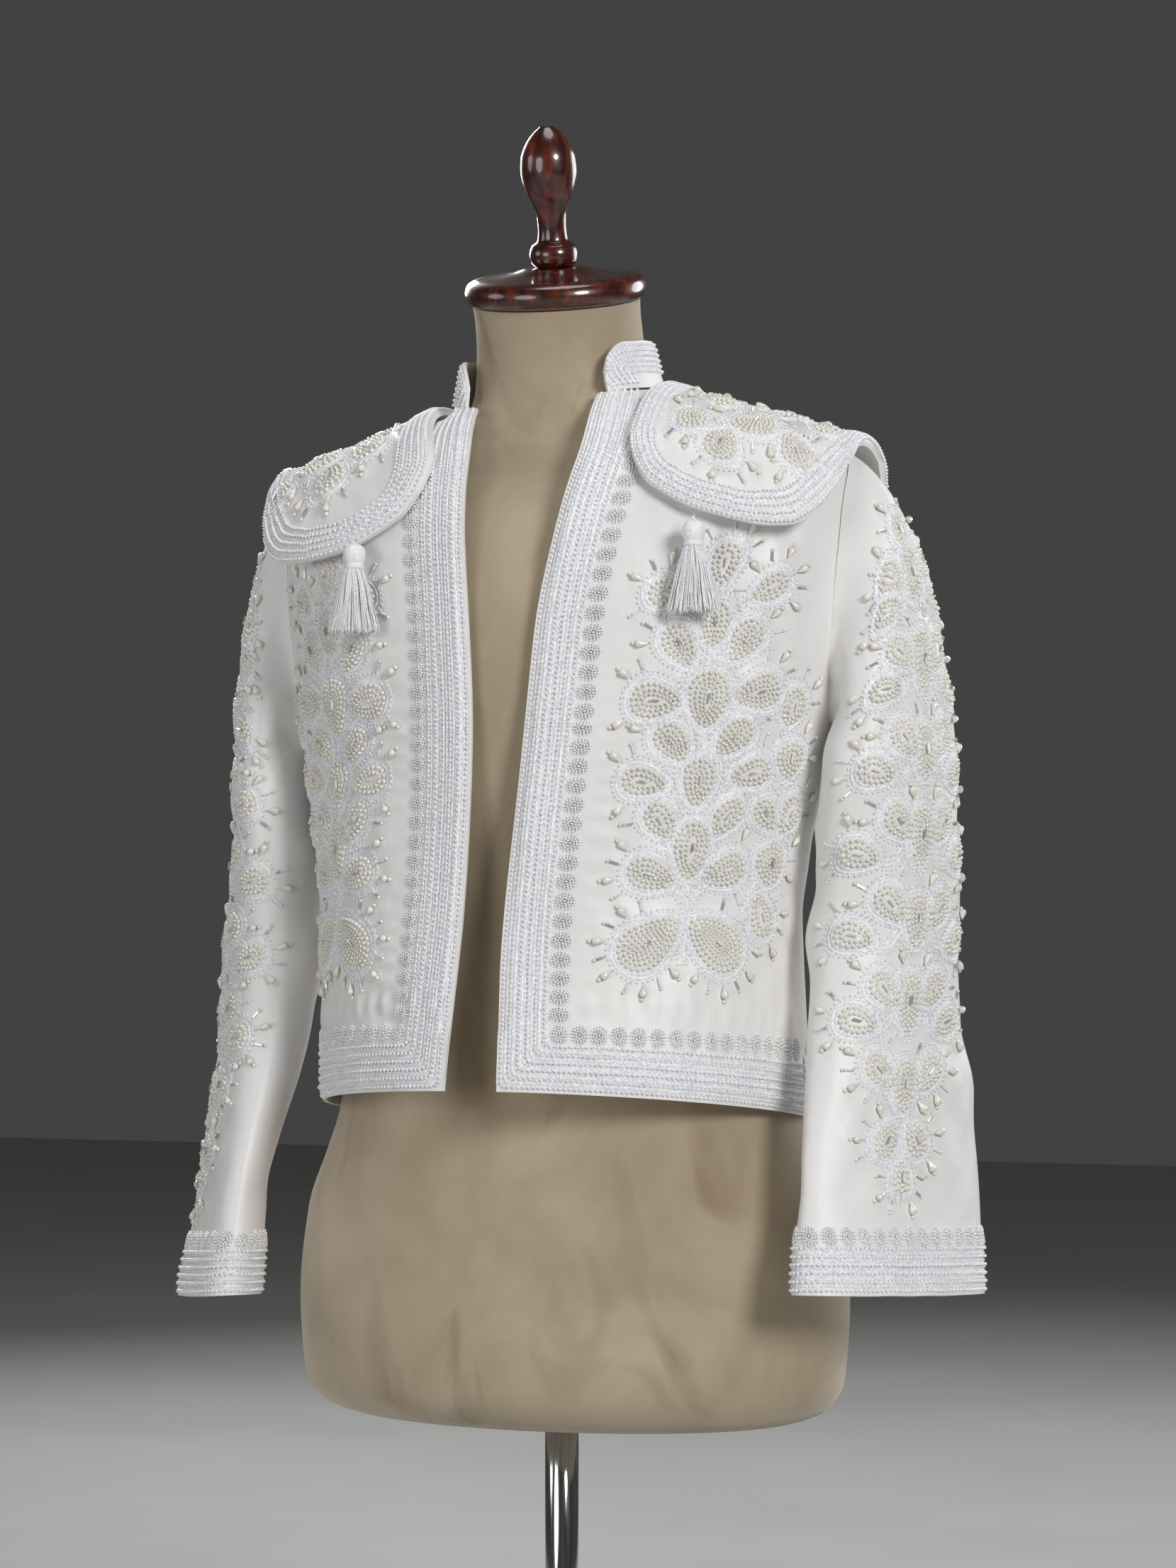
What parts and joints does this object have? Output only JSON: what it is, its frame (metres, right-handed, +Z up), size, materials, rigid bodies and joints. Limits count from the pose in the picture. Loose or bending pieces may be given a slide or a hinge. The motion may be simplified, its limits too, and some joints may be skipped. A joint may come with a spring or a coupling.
{
  "type": "matador jacket on a dress form",
  "caption": "Short open-fronted beaded jacket with stand collar, shoulder pieces and tassels, worn on a limbless dress form with a turned finial, a pole and a round base.",
  "frame": {"origin": "middle of the underside of the round base, on the floor", "axes": "+Z up; the wearer faces -Y and the wearer's left is +X"},
  "size_m": [0.5862, 0.32, 1.2032],
  "materials": {
    "satin": "satin",
    "braid": "satin",
    "tassel_silk": "satin",
    "suede": "matte",
    "mahogany": "gloss",
    "polished_steel": "polished",
    "painted_iron": "satin"
  },
  "bodies": {
    "root": {"front_left": "satin", "front_right": "satin", "back": "satin", "sleeve_left": "satin", "sleeve_right": "satin", "collar": "braid", "epaulette_left": "braid", "epaulette_right": "braid", "tassel_left": "tassel_silk", "tassel_right": "tassel_silk", "form_torso": "suede", "neck_cap": "mahogany", "finial": "mahogany", "pole": "polished_steel", "base": "painted_iron"}
  },
  "joints": []
}
